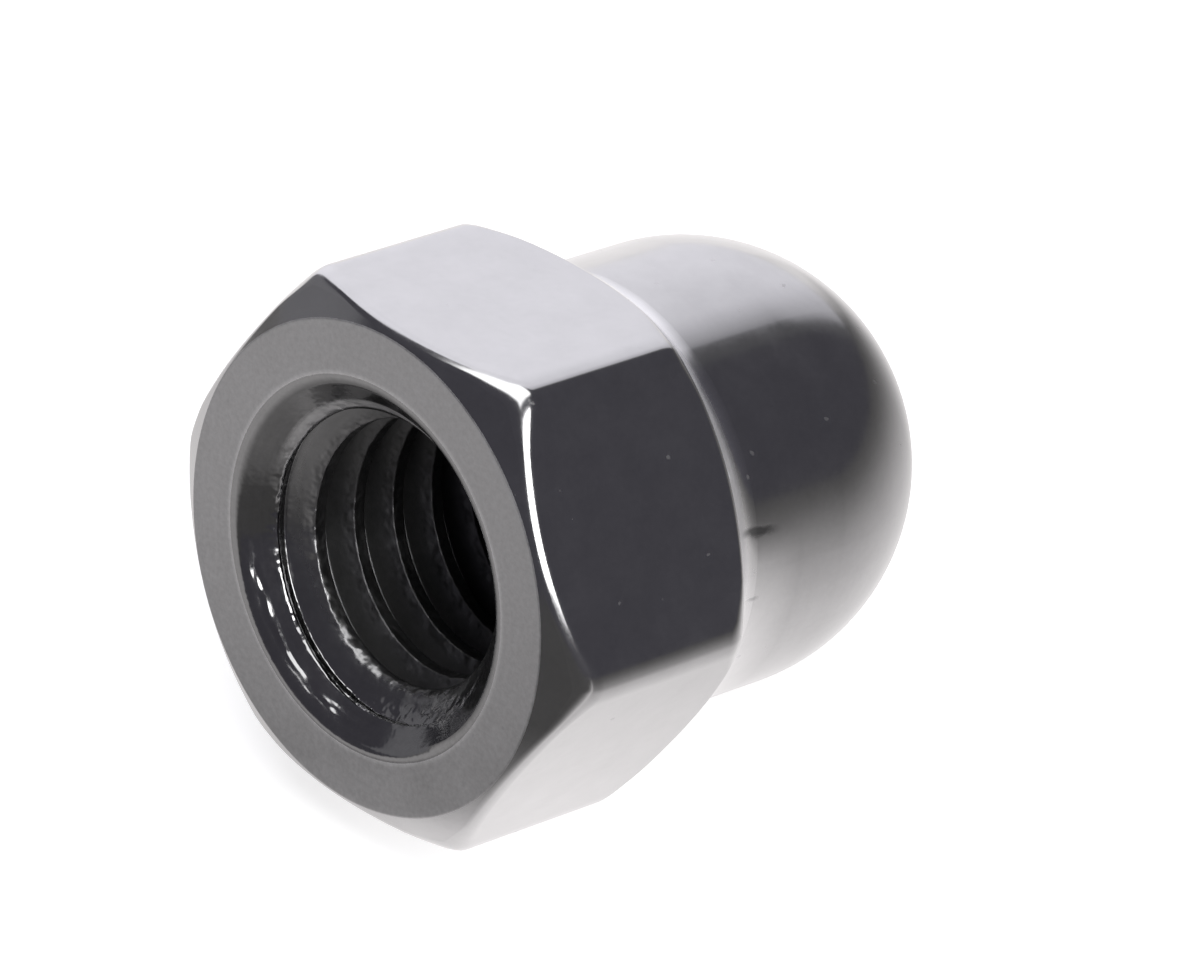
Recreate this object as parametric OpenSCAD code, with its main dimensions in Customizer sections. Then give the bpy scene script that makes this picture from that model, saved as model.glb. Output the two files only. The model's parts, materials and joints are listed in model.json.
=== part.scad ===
// Domed hexagon cap nut: hexagon bar, turned to a round crown and tapped with a blind hole.
// It lies as it comes to rest: the rear edge of the lower flat and the crown touch the surface z = 0.
// The open end faces -Y and the crown points to +Y. Lengths are in millimetres, angles in degrees.

/* [Hexagon] */
// Width across the flats, which is the spanner size
across_flats = 8; // [7:0.1:10]
// Height from the bearing ring to the rear edge of a flat, at the middle of the flat
hex_height = 4; // [3:0.1:6]
// How far each sharp corner of the bar is turned back, measured along the radius
corner_break = 0.07; // [0.02:0.01:0.2]
// How far the bearing ring lies inside the flats
bearing_inset = 0.15; // [0.05:0.05:0.4]
// Slope of the chamfer at the open end, measured from the bearing ring
front_chamfer = 33; // [20:1:40]
// Slope of the chamfer at the crown end
rear_chamfer = 36; // [15:1:45]

/* [Crown] */
// How far the side of the crown lies inside the flats
crown_inset = 0.45; // [0.25:0.05:0.8]
// Length from the rear edge of the flats to the start of the dome
crown_side = 2.65; // [1.6:0.05:5]
// Radius of the hollow between the hexagon and the crown
neck_fillet = 0.8; // [0.2:0.05:0.8]

/* [Tapped hole] */
// Nominal diameter of the thread
thread_d = 5; // [4:0.5:5.5]
// Pitch of the thread
thread_pitch = 0.8; // [0.5:0.05:1]
// How far the countersink is wider than the thread, on the radius
countersink_margin = 0.4; // [0.1:0.05:0.5]
// Included angle of the countersink
countersink_angle = 90; // [80:5:120]
// Included angle of the drill's point
drill_point_angle = 118; // [90:2:140]
// Metal left between the drill's point and the tip of the crown
tip_wall = 1.3; // [0.8:0.1:2.5]

/* [Hidden] */
$fn = 144;

// How far the round tool for the neck runs into the crown's side and the rear chamfer
neck_relief = 0.01;
// How far a cutting tool starts outside the metal
overcut = 0.5;

// Radii from the thread axis
flat_r = across_flats / 2;
corner_r = flat_r / cos(30) - corner_break;
bearing_r = flat_r - bearing_inset;
crown_r = flat_r - crown_inset;
mouth_r = thread_d / 2 + countersink_margin;
// A basic metric thread is cut five eighths of its triangle's height deep
minor_r = thread_d / 2 - 5 / 8 * thread_pitch * sin(60);

// Heights above the bearing ring
front_corner_z = (corner_r - bearing_r) * tan(front_chamfer);
rear_corner_z = hex_height - (corner_r - flat_r) * tan(rear_chamfer);
dome_z = hex_height + crown_side;
tip_z = dome_z + crown_r;
countersink_z = (mouth_r - minor_r) / tan(countersink_angle / 2);
drill_tip_z = tip_z - tip_wall;
drill_shoulder_z = drill_tip_z - minor_r / tan(drill_point_angle / 2);

// Centre of the neck fillet, which runs out into the rear chamfer and the crown's side
neck_reach = neck_fillet - neck_relief;
neck_r = crown_r + neck_reach;
neck_z = hex_height + (flat_r - neck_r) * tan(rear_chamfer) + neck_reach / cos(rear_chamfer);

// Lying at rest, the thread axis dips until the dome meets the surface under the rear edge of the flat
rest_tilt = atan2(flat_r, crown_side) - asin(crown_r / norm([flat_r, crown_side]));
rest_height = flat_r * cos(rest_tilt) + hex_height * sin(rest_tilt);
rest_back = dome_z * cos(rest_tilt) + crown_r;
rest_front = -bearing_r * sin(rest_tilt);

// Half section of the turned outside, with the thread axis on the left
module turned_profile() {
    difference() {
        polygon([
            [0, 0],
            [bearing_r, 0],
            [corner_r, front_corner_z],
            [corner_r, rear_corner_z],
            [neck_r - neck_reach * sin(rear_chamfer), neck_z - neck_reach * cos(rear_chamfer)],
            [neck_r, neck_z],
            [crown_r, neck_z],
            [crown_r, dome_z],
            [0, dome_z]
        ]);
        translate([neck_r, neck_z]) circle(neck_fillet);
    }
    translate([0, dome_z])
        intersection() {
            circle(crown_r);
            square(crown_r + overcut);
        }
}

// Half section of the drilled and countersunk hole, at the thread's minor diameter
module hole_profile() {
    mouth_overcut_r = mouth_r + overcut * tan(countersink_angle / 2);
    polygon([
        [0, -overcut],
        [mouth_overcut_r, -overcut],
        [minor_r, countersink_z],
        [minor_r, drill_shoulder_z],
        [0, drill_tip_z]
    ]);
}

// Hexagon bar, longer than the nut at both ends
module hexagon_bar() {
    translate([0, 0, -overcut])
        cylinder(r = flat_r / cos(30), h = tip_z + 2 * overcut, $fn = 6);
}

// The nut on its own axis, with the bearing ring at z = 0 and the crown up
module upright_nut() {
    difference() {
        intersection() {
            hexagon_bar();
            rotate_extrude() turned_profile();
        }
        rotate_extrude() hole_profile();
    }
}

module cap_nut() {
    color("silver")
        translate([0, -(rest_front + rest_back) / 2, rest_height])
            rotate([-(90 + rest_tilt), 0, 0])
                upright_nut();
}

cap_nut();
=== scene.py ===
import json
import math

import bpy
import numpy as np
from mathutils import Matrix, Vector


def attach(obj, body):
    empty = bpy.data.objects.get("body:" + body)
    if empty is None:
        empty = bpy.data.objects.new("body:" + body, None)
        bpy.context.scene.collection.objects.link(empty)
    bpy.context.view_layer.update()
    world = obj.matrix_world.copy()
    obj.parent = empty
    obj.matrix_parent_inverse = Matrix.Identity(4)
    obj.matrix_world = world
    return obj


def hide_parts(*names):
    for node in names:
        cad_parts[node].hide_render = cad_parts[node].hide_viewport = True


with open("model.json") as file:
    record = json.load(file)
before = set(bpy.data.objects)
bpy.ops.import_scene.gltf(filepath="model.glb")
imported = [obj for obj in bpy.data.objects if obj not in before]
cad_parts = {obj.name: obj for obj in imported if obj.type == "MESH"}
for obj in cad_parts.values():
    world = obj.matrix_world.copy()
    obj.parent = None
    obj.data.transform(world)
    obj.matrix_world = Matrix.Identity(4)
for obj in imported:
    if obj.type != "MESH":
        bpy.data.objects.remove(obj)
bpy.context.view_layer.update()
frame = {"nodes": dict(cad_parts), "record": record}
MM = 0.001

# Place of the nut: its own z runs from the bearing ring to the crown, and its corners lie on +x and -x.
mount = {m["name"]: m for m in frame["record"]["mounts"]}
on_axis = Vector(mount["thread"]["pos_m"])
axis_z = -Vector(mount["thread"]["axis"]).normalized()
axis_x = Vector((1, 0, 0))
axis_y = axis_z.cross(axis_x).normalized()
mouth = on_axis + axis_z * (Vector(mount["bearing_ring"]["pos_m"]) - on_axis).dot(axis_z)
place = Matrix((axis_x, axis_y, axis_z)).transposed().to_4x4()
place.translation = mouth

# Sizes in millimetres that only the visible surface has: neck, thread, rounded edges and corners.
NECK_FILLET = 0.9
PITCH, MAJOR_R = 0.8, 2.5
CREST_Z, CREST_HALF, FLANK = 0.623, 0.1, 0.25
THREAD_LEAD, THREAD_GAP, RUN_OUT, SINK_BLEND = 0.03, 0.5, 2.4, 0.1
EDGE_FRONT, EDGE_REAR, EDGE_TIP, EDGE_RING, EDGE_MOUTH = 0.24, 0.15, 0.5, 0.07, 0.26
CORNER_BLEND, CORNER_REACH = 0.1, 0.2
# How far the surface stays inside the solid at its corners and its tip
CORNER_SLACK, TIP_SLACK = 0.001, 0.006
# How close to an edge a straight run has its last row
SUPPORT = 0.012

# Sizes in millimetres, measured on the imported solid.
NEAR, ON_MIDDLE = 2e-3, 0.01
points = np.array([place.inverted() @ v.co for v in frame["nodes"]["cap_nut"].data.vertices]) / MM
radius, height = np.hypot(points[:, 0], points[:, 1]), points[:, 2]
upper, lower = (Vector(mount[name]["pos_m"]) for name in ("upper_flat", "lower_flat"))
FLAT_R = (upper - lower).dot(Vector(mount["upper_flat"]["axis"])) / MM / 2
CORNER_R = radius.max()
on_ring = np.abs(height) < NEAR
BEARING_R, MOUTH_R = radius[on_ring].max(), radius[on_ring].min()
at_corner = radius > CORNER_R - NEAR
FRONT_TAN = height[at_corner].min() / (CORNER_R - BEARING_R)
flat_turn = np.radians(30 + 60 * np.arange(6))
across = (points[:, :1] * np.cos(flat_turn) + points[:, 1:2] * np.sin(flat_turn)).max(1)
HEX_Z = height[np.abs(across - FLAT_R) < NEAR].max()
REAR_TAN = (HEX_Z - height[at_corner].max()) / (CORNER_R - FLAT_R)
CROWN_R = radius[height > 0.6 * height.max()].max()
TIP_Z = height.max() - TIP_SLACK
DOME_Z = TIP_Z - CROWN_R
MINOR_R = mount["thread"]["dims"]["r_mm"]
wall_mid = (on_axis - mouth).dot(axis_z) / MM
wall_half = mount["thread"]["dims"]["length_mm"] / 2
SINK_Z, SHOULDER_Z = wall_mid - wall_half, wall_mid + wall_half
DRILL_Z = height[radius < ON_MIDDLE].min()
SINK_TAN = (MOUTH_R - MINOR_R) / SINK_Z


def smooth_min(a, b, k):
    return np.minimum(a, b) - np.maximum(k - np.abs(a - b), 0) ** 2 / (4 * k)


def smooth_step(a, b, x):
    t = np.clip((x - a) / (b - a), 0, 1)
    return t * t * (3 - 2 * t)


# Columns round the axis, close together where a flat runs into its rounded corner.
half = np.concatenate([np.linspace(0, 24.8, 10), np.linspace(25.4, 30, 12)])
sector = np.concatenate([-half[:0:-1], half[:-1]])
theta = np.radians(np.concatenate([30 + 60 * k + sector for k in range(6)]))
off_flat = np.radians(np.tile(sector, 6))
hexagon = smooth_min(FLAT_R / np.cos(off_flat), CORNER_R - CORNER_SLACK, CORNER_BLEND)
columns = len(theta)


def unit(r, z):
    return np.array([r, z]) / math.hypot(r, z)


def spot(r, z):
    """One row of the surface, as a (radius, height) pair for each column."""
    return np.stack([r + 0 * theta, z + 0 * theta])


def edge(at, before, after, size, steps):
    """Rows of a rounded edge where two straight runs meet, with one radius or one per column."""
    turn = math.acos(np.clip(before @ after, -1, 1))
    side = after - (after @ before) * before
    side = side / np.linalg.norm(side)
    start = at - before[:, None] * size * math.tan(turn / 2)
    return [
        start + (math.sin(a) * before + (1 - math.cos(a)) * side)[:, None] * size
        for a in np.linspace(0, turn, steps + 1)
    ]


def run(first, last, steps):
    """Rows between two others, with one close to each end so that the run stays flat up to its edges."""
    length = np.maximum(np.hypot(*(last - first)), 1e-6)
    near = np.minimum(SUPPORT / length, 0.2)
    shares = [near] + [near + (1 - 2 * near) * i / steps for i in range(1, steps)] + [1 - near]
    return [first + (last - first) * s for s in shares]


# Rows of the section, from the crown's tip round the outside and into the countersink.
down, inward = unit(0, -1), unit(-1, 0)
rear_down, front_in = unit(1, -REAR_TAN), unit(-1, -FRONT_TAN)
sink_in = unit(-SINK_TAN, 1)
rear_line = HEX_Z - (hexagon - FLAT_R) * REAR_TAN
front_line = (hexagon - BEARING_R) * FRONT_TAN
at_tip = smooth_step(FLAT_R + CORNER_REACH, CORNER_R, hexagon)
rear_size = EDGE_REAR + (EDGE_TIP - EDGE_REAR) * at_tip
front_size = EDGE_FRONT + (EDGE_TIP - EDGE_FRONT) * at_tip
THREAD_START = (MOUTH_R - MAJOR_R) / SINK_TAN - THREAD_LEAD
THREAD_END = SHOULDER_Z - THREAD_GAP

dome_turn = np.radians(np.linspace(87, 0, 30))
dome = [spot(CROWN_R * math.cos(a), DOME_Z + CROWN_R * math.sin(a)) for a in dome_turn]
neck = edge(spot(CROWN_R, HEX_Z + (FLAT_R - CROWN_R) * REAR_TAN), down, rear_down, NECK_FILLET, 10)
rear = edge(np.stack([hexagon, rear_line]), rear_down, down, rear_size, 8)
front = edge(np.stack([hexagon, front_line]), down, front_in, front_size, 8)
ring_out = edge(spot(BEARING_R, 0), front_in, inward, EDGE_RING, 5)
ring_in = edge(spot(MOUTH_R, 0), inward, sink_in, EDGE_MOUTH, 7)
sink_end = spot(MOUTH_R - THREAD_START * SINK_TAN, THREAD_START)
crown = dome + run(dome[-1], neck[0], 8)
groove = neck + run(neck[-1], rear[0], 3)
flats = rear + run(rear[-1], front[0], 8) + front
bevel = run(front[-1], ring_out[0], 3)
ring = ring_out + run(ring_out[-1], ring_in[0], 6)
sink = ring_in + run(ring_in[-1], sink_end, 3) + [sink_end]
outer = np.stack(crown + groove + flats + bevel + ring + sink)

# Right-hand thread: the rows climb with the angle, so that crest and root keep crisp edges.
# Half a pitch has these rows, from the middle of the crest, closer at the edges of crest and root.
half_turn = np.array([0, 0.05, 0.085, 0.1, 0.115, 0.14, 0.2, 0.26, 0.31, 0.335, 0.35, 0.365, 0.385])
phases = np.concatenate([half_turn, PITCH - half_turn[:0:-1]])
per_turn = len(phases)
turns = math.ceil((THREAD_END - THREAD_START) / PITCH) + 2
climb = np.concatenate([phases + PITCH * k for k in range(turns + 1)])
lead = PITCH * theta / (2 * math.pi)
thread_z = np.clip(CREST_Z - 2 * PITCH + climb[:, None] + lead, THREAD_START, THREAD_END)
phase = (thread_z - CREST_Z - lead) % PITCH
from_crest = np.minimum(phase, PITCH - phase)
depth = np.clip((from_crest - CREST_HALF) / FLANK, 0, 1)
depth = depth * (1 - smooth_step(SHOULDER_Z - RUN_OUT, THREAD_END - 0.05, thread_z))
thread_r = MINOR_R + (MAJOR_R - MINOR_R) * depth
thread_r = -smooth_min(-thread_r, -(MOUTH_R - thread_z * SINK_TAN), SINK_BLEND)
thread = np.stack([thread_r, thread_z], 1)

# Plain end of the hole and the drill's point
shoulder = spot(MINOR_R, SHOULDER_Z)
drill = [spot(MINOR_R, THREAD_END + THREAD_GAP / 2), spot(MINOR_R, SHOULDER_Z - SUPPORT), shoulder]
drill += [shoulder + (spot(0, DRILL_Z) - shoulder) * s for s in (0.01, 0.3, 0.6, 0.9)]
drill = np.stack(drill)


def placed(rows):
    r, z = rows[:, 0], rows[:, 1]
    return np.stack([r * np.cos(theta), r * np.sin(theta), z], 2).reshape(-1, 3)


def quads(count, first, shift=0):
    """Faces of a block of rows that closes on itself; shift rows climb by one turn at the seam."""
    i, j = np.meshgrid(np.arange(count - 1), np.arange(columns), indexing="ij")
    step = np.where(j == columns - 1, shift, 0)
    nxt = (j + 1) % columns
    low, high = np.minimum(i + step, count - 1), np.minimum(i + 1 + step, count - 1)
    quad = np.stack([i * columns + j, (i + 1) * columns + j, high * columns + nxt, low * columns + nxt], 2)
    return quad.reshape(-1, 4) + first, i.reshape(-1)


def fan(row, pole, flip):
    j = np.arange(columns)
    tri = np.stack([row + j, row + (j + 1) % columns, np.full(columns, pole)], 1)
    return tri[:, ::-1] if flip else tri


verts = np.concatenate([placed(outer), placed(thread), placed(drill), [[0, 0, TIP_Z], [0, 0, DRILL_Z]]])
tip_pole, drill_pole = len(verts) - 2, len(verts) - 1
first_thread = len(outer) * columns
first_drill = first_thread + len(thread) * columns
last_thread, last_drill = first_drill - columns, tip_pole - columns
outer_quads, outer_row = quads(len(outer), 0)
thread_quads, _ = quads(len(thread), first_thread, per_turn)
drill_quads, _ = quads(len(drill), first_drill)
here = np.arange(columns)
nxt = (here + 1) % columns
bridge = np.stack([last_thread + here, first_drill + here, first_drill + nxt, last_thread + nxt], 1)

ends = np.cumsum([len(part) for part in (crown, groove, flats, bevel, ring)])
zone = np.searchsorted(ends, outer_row, side="right")
TURNED, NECK, FLAT, RING, BORE = range(5)
zone_material = np.array([TURNED, NECK, FLAT, TURNED, RING, BORE])

groups = [
    (fan(0, tip_pole, False), np.full(columns, TURNED)),
    (outer_quads, zone_material[zone]),
    (thread_quads, np.full(len(thread_quads), BORE)),
    (bridge, np.full(columns, BORE)),
    (drill_quads, np.full(len(drill_quads), BORE)),
    (fan(last_drill, drill_pole, True), np.full(columns, BORE)),
]

# Points that fall together, as at the ends of the thread, become one.
keys = np.round(verts * 1e5).astype(np.int64)
_, keep, back = np.unique(keys, axis=0, return_index=True, return_inverse=True)
back = back.reshape(-1)
faces, materials = [], []
for group, numbers in groups:
    for face_points, number in zip(back[group].tolist(), numbers.tolist()):
        loop = [p for k, p in enumerate(face_points) if p != face_points[k - 1]]
        if len(loop) > 2 and len(set(loop)) == len(loop):
            faces.append(loop)
            materials.append(number)

mesh = bpy.data.meshes.new("cap_nut_finish")
to_part = np.array(place)
mesh.from_pydata((verts[keep] * MM @ to_part[:3, :3].T + to_part[:3, 3]).tolist(), [], faces)
mesh.polygons.foreach_set("material_index", materials)
mesh.polygons.foreach_set("use_smooth", [True] * len(faces))
mesh.validate()
mesh.update()
nut = bpy.data.objects.new("cap_nut_finish", mesh)
bpy.context.scene.collection.objects.link(nut)


class Nodes:
    """A material's nodes, made and joined in a few words. Its place is the nut's own, in millimetres."""

    def __init__(self, name):
        self.material = bpy.data.materials.new(name)
        self.material.use_nodes = True
        self.tree = self.material.node_tree
        self.shader = self.tree.nodes["Principled BSDF"]
        where = self.add("ShaderNodeMapping", Vector=self.add("ShaderNodeTexCoord").outputs["Object"])
        where.vector_type = "TEXTURE"
        where.inputs["Location"].default_value = mouth
        where.inputs["Rotation"].default_value = place.to_euler()
        where.inputs["Scale"].default_value = (MM, MM, MM)
        self.place = where.outputs["Vector"]
        self.x, self.y, self.z = self.add("ShaderNodeSeparateXYZ", Vector=self.place).outputs
        reach = self.add("ShaderNodeVectorMath", "LENGTH")
        self.put(reach.inputs[0], self.add("ShaderNodeCombineXYZ", X=self.x, Y=self.y).outputs[0])
        self.r = reach.outputs["Value"]

    def add(self, kind, operation=None, **inputs):
        node = self.tree.nodes.new(kind)
        if operation:
            node.operation = operation
        for name, value in inputs.items():
            self.put(node.inputs[name], value)
        return node

    def put(self, socket, value):
        if isinstance(value, bpy.types.NodeSocket):
            self.tree.links.new(value, socket)
        else:
            socket.default_value = value

    def stretched(self, shares):
        """The place with each of its three lengths times a number."""
        node = self.add("ShaderNodeVectorMath", "MULTIPLY")
        self.put(node.inputs[0], self.place)
        self.put(node.inputs[1], shares)
        return node.outputs["Vector"]

    def math(self, operation, a, b=0.0, c=0.0):
        node = self.add("ShaderNodeMath", operation)
        for socket, value in zip(node.inputs, (a, b, c)):
            self.put(socket, value)
        return node.outputs[0]

    def product(self, first, *others):
        for other in others:
            first = self.math("MULTIPLY", first, other)
        return first

    def noise(self, at, scale, detail=2.0, rough=0.5):
        node = self.add("ShaderNodeTexNoise", Vector=at, Scale=scale, Detail=detail, Roughness=rough)
        return node.outputs["Fac"]

    def span(self, value, a, b, c, d):
        """value from a to b, carried over to c to d."""
        node = self.add("ShaderNodeMapRange")
        for socket, number in zip(node.inputs, (value, a, b, c, d)):
            self.put(socket, number)
        return node.outputs[0]

    def bump(self, height, distance, strength=1.0, normal=None):
        node = self.add("ShaderNodeBump", Height=height, Distance=distance, Strength=strength)
        if normal is not None:
            self.put(node.inputs["Normal"], normal)
        return node.outputs[0]

    def grey(self, value, tint=(1.0, 1.0, 1.0)):
        node = self.add("ShaderNodeCombineColor")
        for socket, share in zip(node.inputs, tint):
            self.put(socket, self.math("MULTIPLY", value, share))
        return node.outputs[0]


STEEL = (0.995, 0.99, 1.0)
CROWN_TONE = (0.57, 0.63)
POLISHED = {"rough": (0.13, 0.19), "shares": (0.65, 0.1, 0.25), "wave": 3e-6, "line": 8e-8, "grain": 1.2e-7}


def steel(name, tones, streaks, rough, shares, wave, line, grain):
    """Bright stainless steel: uneven polish, faint tool lines, a fine grain and a few specks.

    shares says how much of the tone is mottle, tool lines and grain. The last three are heights in metres."""
    n = Nodes(name)
    n.shader.inputs["Metallic"].default_value = 1.0
    mottle = n.noise(n.place, 1.3, 4.0, 0.6)
    fine = n.noise(n.place, 11.0, 3.0, 0.6)
    lines = n.noise(streaks(n), 1.0, 2.0, 0.65)
    speck = n.span(n.noise(n.place, 4.3, 1.0), 0.76, 0.80, 0.0, 1.0)
    tone = n.math("MULTIPLY", mottle, shares[0])
    for part, share in ((lines, shares[1]), (fine, shares[2])):
        tone = n.math("MULTIPLY_ADD", part, share, tone)
    n.tone = n.span(tone, 0.32, 0.68, *tones)
    polish = n.math("ADD", n.math("MULTIPLY", mottle, 0.6), n.math("MULTIPLY", fine, 0.4))
    n.polish = n.math("MULTIPLY_ADD", speck, 0.2, n.span(polish, 0.35, 0.65, *rough))
    normal = n.bump(n.noise(n.place, 0.55, 1.0), wave)
    normal = n.bump(lines, line, 1.0, normal)
    n.normal = n.bump(fine, grain, 1.0, normal)
    return n


def drawn(n):
    """Streaks along the hexagon bar."""
    return n.stretched((14.0, 14.0, 0.7))


def lathe(n):
    """Streaks round the axis."""
    r, z = n.math("MULTIPLY", n.r, 9.0), n.math("MULTIPLY", n.z, 9.0)
    return n.add("ShaderNodeCombineXYZ", X=r, Z=z).outputs[0]


def nick(n, turn, z, length, width, lean, depth, darkening):
    """A small gouge along the crown, at an angle round the axis and a height, leaning to one side."""
    c, s = math.cos(math.radians(turn)), math.sin(math.radians(turn))
    along = n.math("SUBTRACT", n.z, z)
    across = n.math("MULTIPLY_ADD", n.x, -s, n.math("MULTIPLY", n.y, c))
    across = n.math("MULTIPLY_ADD", along, -lean, across)
    across = n.math("ADD", across, n.span(n.noise(n.place, 3.5, 2.0), 0.3, 0.7, -0.03, 0.03))
    sides = ((across, width), (along, length))
    far = [n.math("POWER", n.math("DIVIDE", part, size), 2.0) for part, size in sides]
    far = n.math("POWER", n.math("ADD", *far), 1.6)
    near_side = n.math("GREATER_THAN", n.math("MULTIPLY_ADD", n.x, c, n.math("MULTIPLY", n.y, s)), 0.0)
    groove = n.product(n.math("EXPONENT", n.math("MULTIPLY", far, -1.0)), near_side)
    # The gouge is darker in colour, down to the share given by darkening.
    n.tone = n.product(n.tone, n.span(groove, 0.0, 0.9, 1.0, darkening))
    n.polish = n.math("MULTIPLY_ADD", groove, 0.2, n.polish)
    n.normal = n.bump(n.math("MULTIPLY", groove, -1.0), depth, 1.0, n.normal)


def nicks_and_painted_highlight(n):
    """On the crown: two nicks that use left, and beside the neck on one side a duller polish whose paler
    colour is a painted highlight.
    """
    dull_painted_highlight = n.product(
        n.span(n.z, HEX_Z + 0.75, HEX_Z + 1.7, 1.0, 0.0),
        n.span(n.y, -0.9, -0.45, 0.0, 1.0),
        n.span(n.x, 0.5, 1.5, 0.0, 1.0),
        n.span(n.z, HEX_Z, HEX_Z + 0.3, 0.0, 1.0),
    )
    # Painted highlight: the colour is paler on one side of the crown beside the neck.
    n.tone = n.product(n.tone, n.span(dull_painted_highlight, 0.0, 1.0, 1.0, 1.55))
    n.polish = n.math("MULTIPLY_ADD", dull_painted_highlight, 0.1, n.polish)
    nick(n, turn=343.6, z=HEX_Z + 0.80, length=0.34, width=0.08, lean=0.148, depth=3e-6, darkening=0.32)
    nick(n, turn=1.4, z=HEX_Z + 0.72, length=0.14, width=0.035, lean=0.1, depth=1e-6, darkening=0.75)
    return n


def turned_finish():
    return nicks_and_painted_highlight(steel("turned_steel", CROWN_TONE, lathe, **POLISHED))


def neck_finish():
    """As the crown, but satin in the depth of the hollow, where a paler colour is a painted highlight."""
    n = steel("neck_steel", CROWN_TONE, lathe, **POLISHED)
    # Painted highlight: paler colour in the depth of the hollow.
    n.tone = n.product(n.tone, n.span(n.z, HEX_Z + 0.55, HEX_Z + 0.82, 1.6, 1.0))
    n.polish = n.math("ADD", n.polish, n.span(n.z, HEX_Z + 0.38, HEX_Z + 0.58, 0.38, 0.0))
    return nicks_and_painted_highlight(n)


def flat_finish():
    return steel("flat_steel", (0.60, 0.66), drawn, **POLISHED)


def ring_finish():
    """Satin, with a painted highlight: a paler line round the countersink."""
    n = steel("ring_steel", (0.60, 0.82), lathe, (0.46, 0.58), (0.4, 0.1, 0.5), 3e-6, 4e-7, 2.5e-6)
    # Painted highlight: a paler line just outside the countersink's rim.
    n.tone = n.product(n.tone, n.span(n.r, MOUTH_R + 0.12, MOUTH_R + 0.18, 1.3, 1.0))
    return n


def bore_finish():
    """Machined steel, duller with depth, and darker with depth as painted shade."""
    n = steel("bore_steel", (0.40, 0.50), lathe, (0.11, 0.16), (0.4, 0.3, 0.3), 2e-6, 4e-7, 3e-7)
    # Painted shade: darker colour deeper in the hole.
    n.tone = n.product(n.tone, n.span(n.z, 0.45, 1.3, 1.0, 0.52))
    n.polish = n.math("ADD", n.polish, n.span(n.z, 0.5, 1.1, 0.0, 0.31))
    n.normal = n.bump(n.noise(n.place, 4.0, 2.0, 0.6), 5e-6, 1.0, n.normal)
    # The thread's crests are worn and uneven.
    crest, first_turn = n.span(n.r, MINOR_R + 0.06, MINOR_R + 0.2, 1.0, 0.0), n.span(n.z, 0.5, 0.75, 1.0, 0.0)
    worn = n.product(n.math("MAXIMUM", crest, first_turn), n.span(n.z, 0.3, 0.45, 0.0, 1.0))
    n.normal = n.bump(n.noise(n.place, 2.6, 2.0, 0.6), 8e-5, worn, n.normal)
    # Where the tap went in, the countersink is scored on one side.
    scored = n.product(
        n.span(n.z, 0.08, 0.14, 0.0, 1.0),
        n.span(n.z, 0.20, 0.27, 1.0, 0.0),
        n.span(n.y, 0.4, 1.2, 0.0, 1.0),
        n.span(n.x, 0.4, -0.4, 0.0, 1.0),
    )
    n.normal = n.bump(n.noise(n.stretched((1.5, 1.5, 7.0)), 1.0, 1.0), 7e-5, scored, n.normal)
    # Painted highlight: the edge of the first turn is paler in colour on its upper side, and rougher.
    painted_arc_highlight = n.product(
        n.span(n.z, 0.34, 0.40, 0.0, 1.0),
        n.span(n.z, 0.50, 0.56, 1.0, 0.0),
        n.span(n.y, -0.3, -1.2, 0.0, 1.0),
    )
    n.tone = n.product(n.tone, n.span(painted_arc_highlight, 0.0, 1.0, 1.0, 2.0))
    n.polish = n.math("MULTIPLY_ADD", painted_arc_highlight, 0.3, n.polish)
    return n


# In the order of TURNED, NECK, FLAT, RING and BORE
for finish in (turned_finish(), neck_finish(), flat_finish(), ring_finish(), bore_finish()):
    tone = finish.math("MINIMUM", finish.tone, 1.0)
    finish.put(finish.shader.inputs["Base Color"], finish.grey(tone, STEEL))
    finish.put(finish.shader.inputs["Roughness"], finish.polish)
    finish.put(finish.shader.inputs["Normal"], finish.normal)
    mesh.materials.append(finish.material)

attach(nut, "root")
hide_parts("cap_nut")

# Floor
FLOOR_SIZE = 3.0
bpy.ops.mesh.primitive_plane_add(size=FLOOR_SIZE)
floor = bpy.context.object
floor.name = "floor"
paper = Nodes("floor_paper")
paper_tone = paper.span(paper.noise(paper.place, 0.5, 3.0), 0.3, 0.7, 0.80, 0.82)
paper.put(paper.shader.inputs["Base Color"], paper.grey(paper_tone))
paper.shader.inputs["Roughness"].default_value = 0.7
paper.shader.inputs["Specular IOR Level"].default_value = 0.2
paper.shader.inputs["Emission Color"].default_value = (1, 1, 1, 1)
paper.shader.inputs["Emission Strength"].default_value = 0.55
floor.data.materials.append(paper.material)


def toward(azimuth, elevation):
    """A direction from the nut, in degrees: azimuth from +X towards +Y, elevation up from the floor."""
    a, e = math.radians(azimuth), math.radians(elevation)
    return Vector((math.cos(a) * math.cos(e), math.sin(a) * math.cos(e), math.sin(e)))


def softbox(name, azimuth, elevation, distance, width, tall, radiance):
    """A soft panel facing the nut."""
    way = toward(azimuth, elevation)
    light = bpy.data.lights.new(name, "AREA")
    light.shape = "RECTANGLE"
    light.size, light.size_y = width, tall
    light.energy = radiance * math.pi * width * tall
    lamp = bpy.data.objects.new(name, light)
    lamp.location = way * distance
    lamp.rotation_mode = "QUATERNION"
    lamp.rotation_quaternion = way.to_track_quat("Z", "Y")
    bpy.context.scene.collection.objects.link(lamp)


softbox("top_panel", 90, 88, 0.5, 0.5, 0.5, 1.8)
softbox("side_panel", -14, 34, 0.45, 0.34, 0.24, 4.0)
softbox("front_fill", 194, 12, 0.6, 0.5, 0.25, 0.12)


def glowing(name, colour, glow):
    """A material that only shines, as strongly as glow says."""
    n = Nodes(name)
    n.shader.inputs["Base Color"].default_value = (0, 0, 0, 1)
    n.shader.inputs["Specular IOR Level"].default_value = 0.0
    n.shader.inputs["Emission Color"].default_value = colour
    n.put(n.shader.inputs["Emission Strength"], glow(n))
    return n.material


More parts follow.
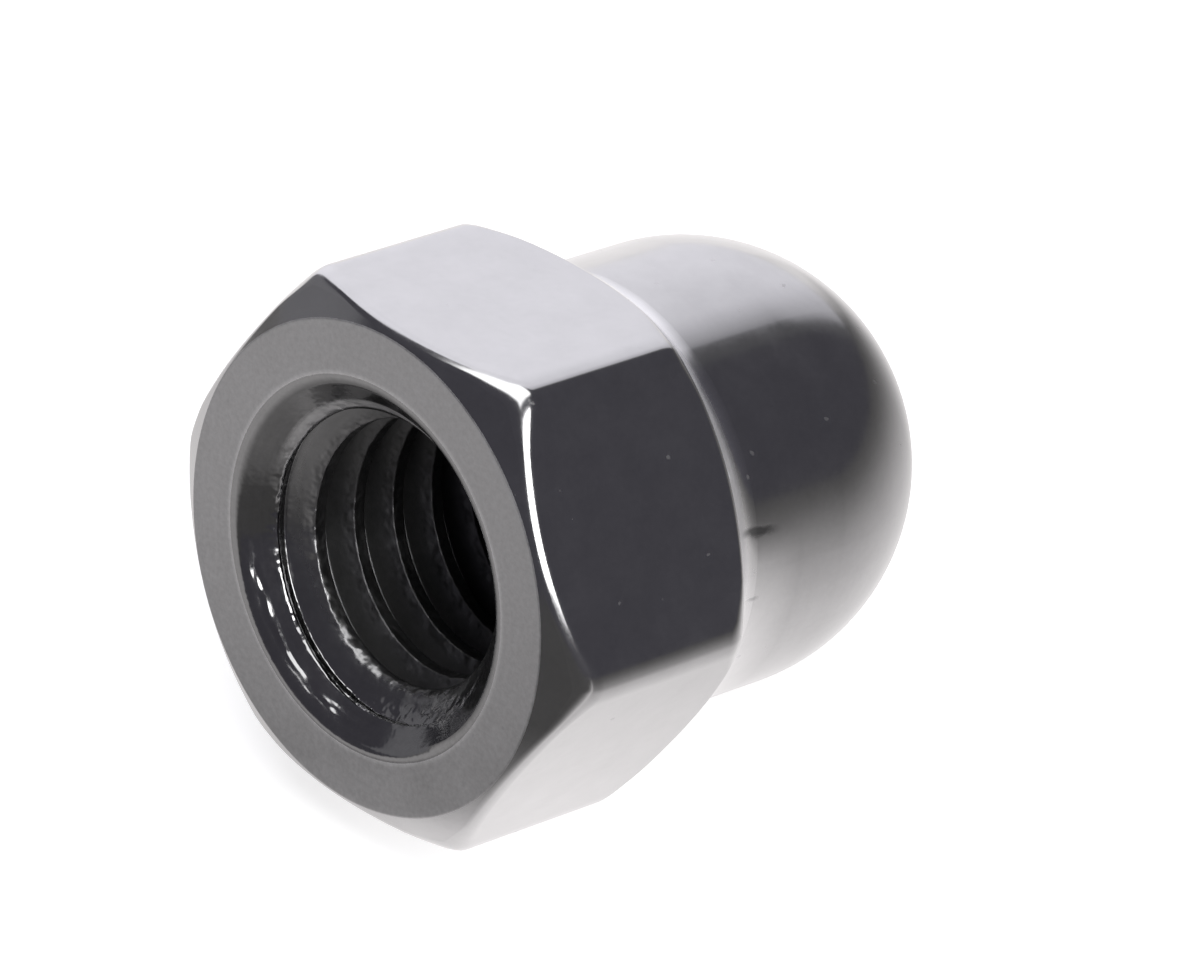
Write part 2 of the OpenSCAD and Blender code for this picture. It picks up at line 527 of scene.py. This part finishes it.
def panel_glow(n):
    """Brightest on the left, and fading out towards a slanting end on the right. Lengths are in metres."""
    on_panel = n.add("ShaderNodeSeparateXYZ", Vector=n.add("ShaderNodeTexCoord").outputs["Object"])
    x, y = on_panel.outputs["X"], on_panel.outputs["Y"]
    past_end = n.math("SUBTRACT", x, n.span(y, -0.19, -0.07, 0.335, 0.39))
    return n.product(
        n.span(past_end, -0.17, -0.015, 1.0, 0.48),
        n.span(past_end, -0.02, 0.015, 1.0, 0.23),
        n.span(x, -0.12, 0.18, 1.13, 0.95),
        n.span(y, -0.06, 0.06, 0.97, 1.05),
        n.span(y, 0.06, 0.2, 1.0, 0.95),
    )


def painted_table_reflection(n):
    """Painted reflection of the table: pale round the nut and behind it, dark towards the right and the
    front.
    """
    right = n.math("MAXIMUM", n.math("MULTIPLY", n.x, 0.14), 0.0)
    away = n.math("MULTIPLY_ADD", n.z, 0.101, -0.85)
    away = n.math("MULTIPLY_ADD", n.math("MINIMUM", n.x, 0.0), 0.13, away)
    away = n.math("MAXIMUM", away, 0.0)
    far = n.math("MULTIPLY_ADD", right, right, n.math("MULTIPLY", away, away))
    far = n.math("POWER", far, 0.92)
    fade = n.math("ADD", n.math("DIVIDE", 0.98, n.math("ADD", far, 1.0)), 0.1)
    left = n.product(n.span(n.x, 1.5, -1.5, 0.0, 0.38), n.span(n.z, 4.0, 8.0, 1.0, 0.0))
    fade = n.product(fade, n.span(n.z, 6.5, 2.5, 1.0, 1.13), n.math("SUBTRACT", 1.0, left))
    bearing = n.math("DIVIDE", n.x, n.math("MAXIMUM", n.z, 1.0))
    horizon = n.product(n.span(bearing, -0.23, -0.49, 0.0, 0.95), n.span(n.z, 20.0, 45.0, 0.0, 1.0))
    behind = n.math("MAXIMUM", fade, horizon)
    front = n.product(
        n.span(n.x, 4.0, -4.0, 0.08, 0.46),
        n.span(n.z, -1.0, -6.0, 0.5, 1.0),
        n.span(n.x, -20.0, -60.0, 1.0, 0.35),
    )
    near = n.math("EXPONENT", n.math("DIVIDE", n.math("MINIMUM", n.z, 0.0), 1.3))
    near = n.product(n.math("MULTIPLY_ADD", near, 0.75, 0.06), n.span(n.x, -6.0, 1.5, 0.0, 1.0))
    front = n.math("MAXIMUM", front, near)
    share = n.span(n.z, -0.3, 1.0, 0.0, 1.0)
    return n.math("MULTIPLY_ADD", n.math("SUBTRACT", behind, front), share, front)


# Large panel behind the nut
PANEL_LEFT, PANEL_RIGHT, PANEL_HALF, PANEL_DISTANCE = -0.36, 0.452, 0.28, 0.5
sheet = bpy.data.meshes.new("back_panel")
low_edge = [(PANEL_LEFT, -PANEL_HALF, 0), (PANEL_RIGHT, -PANEL_HALF, 0)]
high_edge = [(PANEL_RIGHT, PANEL_HALF, 0), (PANEL_LEFT, PANEL_HALF, 0)]
sheet.from_pydata(low_edge + high_edge, [], [(0, 1, 2, 3)])
panel = bpy.data.objects.new("back_panel", sheet)
bpy.context.scene.collection.objects.link(panel)
way = toward(138, 30)
side = way.cross(Vector((0, 0, 1))).normalized()
stand = Matrix((side, way.cross(side), way)).transposed().to_4x4()
stand.translation = way * PANEL_DISTANCE
panel.matrix_world = stand
sheet.materials.append(glowing("back_panel", (0.99, 0.98, 1.04, 1), panel_glow))
panel.visible_camera = False

# Painted reflection of the table: a glowing card just above the floor that only mirrored rays see, drawn as
# what the metal mirrors
bpy.ops.mesh.primitive_plane_add(size=FLOOR_SIZE, location=(0, 0, 0.03 * MM))
table = bpy.context.object
table.name = "table_card"
table.data.materials.append(glowing("table_card", (1.0, 0.975, 0.975, 1), painted_table_reflection))
table.visible_camera = table.visible_diffuse = table.visible_shadow = table.visible_transmission = False

world = bpy.data.worlds.new("studio")
bpy.context.scene.world = world
world.use_nodes = True
world.node_tree.nodes["Background"].inputs["Color"].default_value = (0.068, 0.066, 0.078, 1)

# Camera, at the photograph's angle
CAMERA_WAY, CAMERA_ROLL, CAMERA_DISTANCE = toward(-43.44, 34.18), math.radians(1.44), 137.5 * MM
CAMERA_AIM = Vector((0.0965, -0.0297, 4.1167)) * MM
camera = bpy.data.cameras.new("camera")
camera.sensor_width = 36.0
camera.lens = 270.0
camera.clip_start = 0.01
eye = bpy.data.objects.new("camera", camera)
bpy.context.scene.collection.objects.link(eye)
bpy.context.scene.camera = eye
eye.location = CAMERA_AIM + CAMERA_WAY * CAMERA_DISTANCE
eye.rotation_mode = "QUATERNION"
level = (-CAMERA_WAY).to_track_quat("-Z", "Y").to_matrix().to_4x4()
eye.rotation_quaternion = (level @ Matrix.Rotation(CAMERA_ROLL, 4, "Z")).to_quaternion()

bpy.context.scene.view_settings.view_transform = "Standard"
